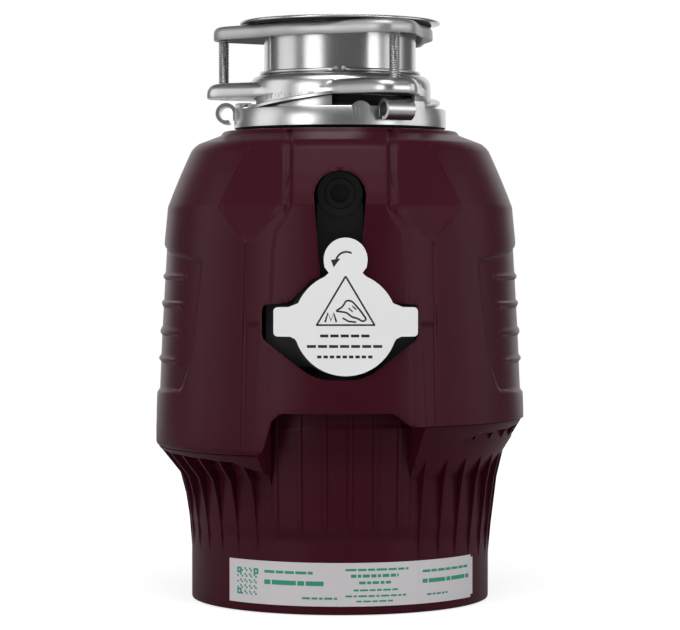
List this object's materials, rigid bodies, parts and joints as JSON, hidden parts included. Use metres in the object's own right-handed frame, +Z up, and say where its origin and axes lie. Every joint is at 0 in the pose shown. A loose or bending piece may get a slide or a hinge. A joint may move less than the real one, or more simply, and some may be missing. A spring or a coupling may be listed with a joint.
{
  "type": "kitchen garbage disposal",
  "caption": "Under-sink food waste disposer: moulded casing over a grinding chamber and motor, with a bayonet sink mount, a discharge outlet and a dishwasher inlet.",
  "frame": {"origin": "on the motor's vertical axis, at the bottom of the lower housing", "axes": "+Z up along the motor's axis, -Y to the front, where the discharge outlet and dishwasher inlet face, +X to the right seen from the front"},
  "size_m": [0.2097, 0.2097, 0.3275],
  "materials": {
    "burgundy_plastic": "moulded polypropylene in burgundy, fine satin texture",
    "stainless_steel": "spun and brushed stainless steel",
    "zinc_plated_steel": "pressed steel with a soft satin plating",
    "bright_steel": "bright plated steel",
    "black_rubber": "moulded black rubber",
    "fibre": "dark pressed fibre",
    "black_plastic": "black glass-filled nylon",
    "dark_casting": "black coated casting",
    "hardened_steel": "ground stainless steel",
    "plain_steel": "machined steel",
    "laminations": "stacked electrical steel",
    "copper_winding": "varnished copper wire",
    "cast_aluminium": "as cast",
    "phenolic": "moulded phenolic",
    "red_plastic": "red button",
    "black_steel": "black painted sheet steel",
    "foam": "expanded foam",
    "white_card": "white coated card with a plain printed picture",
    "label_film": "pale film with plain printed rules"
  },
  "bodies": {
    "housing": {"base_plate": "black_steel", "base_screw_1": "plain_steel", "base_screw_2": "plain_steel", "base_screw_3": "plain_steel", "chamber_bolt_1": "plain_steel", "chamber_bolt_2": "plain_steel", "chamber_bolt_3": "plain_steel", "chamber_bolt_4": "plain_steel", "cord_bush": "black_plastic", "drain_bowl": "dark_casting", "ground_screw": "plain_steel", "hopper": "black_plastic", "inlet_plug": "black_plastic", "insulation_shell": "foam", "isolation_ring": "black_rubber", "lower_bearing": "plain_steel", "lower_end_frame": "cast_aluminium", "lower_housing": "burgundy_plastic", "lower_winding": "copper_winding", "mounting_gasket": "black_rubber", "outer_cover": "burgundy_plastic", "overload_protector": "phenolic", "rating_label": "label_film", "reset_spring": "plain_steel", "shaft_seal": "black_rubber", "shredder_ring": "hardened_steel", "start_capacitor": "black_plastic", "start_switch": "phenolic", "stator_core": "laminations", "terminal_cover": "black_steel", "terminal_cover_screw": "plain_steel", "through_bolt_1": "plain_steel", "through_bolt_2": "plain_steel", "through_bolt_3": "plain_steel", "through_bolt_4": "plain_steel", "thrust_washer": "plain_steel", "upper_bearing": "plain_steel", "upper_winding": "copper_winding"},
    "rotor": {"motor_shaft": "plain_steel", "rotor_core": "laminations", "turntable": "hardened_steel", "turntable_nut": "plain_steel", "slinger": "black_plastic", "impeller_pin_1": "plain_steel", "impeller_pin_2": "plain_steel"},
    "impeller_1": {"impeller_1": "hardened_steel"},
    "impeller_2": {"impeller_2": "hardened_steel"},
    "lock_ring": {"lock_ring": "bright_steel"},
    "sink_mount": {"sink_flange": "stainless_steel", "sink_gasket": "fibre", "backing_flange": "zinc_plated_steel", "mounting_screw_left": "bright_steel", "mounting_screw_front": "bright_steel", "mounting_screw_rear": "bright_steel", "mounting_ring": "zinc_plated_steel", "snap_ring": "bright_steel"},
    "splash_baffle": {"splash_baffle": "black_rubber"},
    "reset_button": {"reset_button": "red_plastic"},
    "transit_card": {"transit_card": "white_card"}
  },
  "joints": [
    {"name": "rotor_spin", "type": "hinge", "parent": "housing", "child": "rotor", "pos_m": [0, 0, 0.1], "axis": [0, 0, 1], "continuous": true},
    {"name": "impeller_1_swing", "type": "hinge", "parent": "rotor", "child": "impeller_1", "pos_m": [0.036, 0, 0.187], "axis": [0, 0, 1], "continuous": true},
    {"name": "impeller_2_swing", "type": "hinge", "parent": "rotor", "child": "impeller_2", "pos_m": [-0.036, 0, 0.187], "axis": [0, 0, 1], "continuous": true},
    {"name": "lock_ring_turn", "type": "hinge", "parent": "housing", "child": "lock_ring", "pos_m": [0, 0, 0.272], "axis": [0, 0, 1], "range_deg": [-10, 42]},
    {"name": "mount_draw_in", "type": "slide", "parent": "housing", "child": "sink_mount", "axis": [0, 0, -1], "range_m": [-0.0013, 0.0053]},
    {"name": "baffle_lift", "type": "slide", "parent": "housing", "child": "splash_baffle", "axis": [0, 0, 1], "range_m": [0, 0.06]},
    {"name": "reset_button_press", "type": "slide", "parent": "housing", "child": "reset_button", "axis": [0, 0, 1], "range_m": [0, 0.0025], "stiffness_N_per_m": 800, "deforming": ["reset_spring"]},
    {"name": "card_pull", "type": "slide", "parent": "housing", "child": "transit_card", "axis": [0, -1, 0], "range_m": [0, 0.06]}
  ],
  "couplings": [
    {"joint": "mount_draw_in", "follows": "lock_ring_turn", "m_per_rad": 0.0071385}
  ]
}
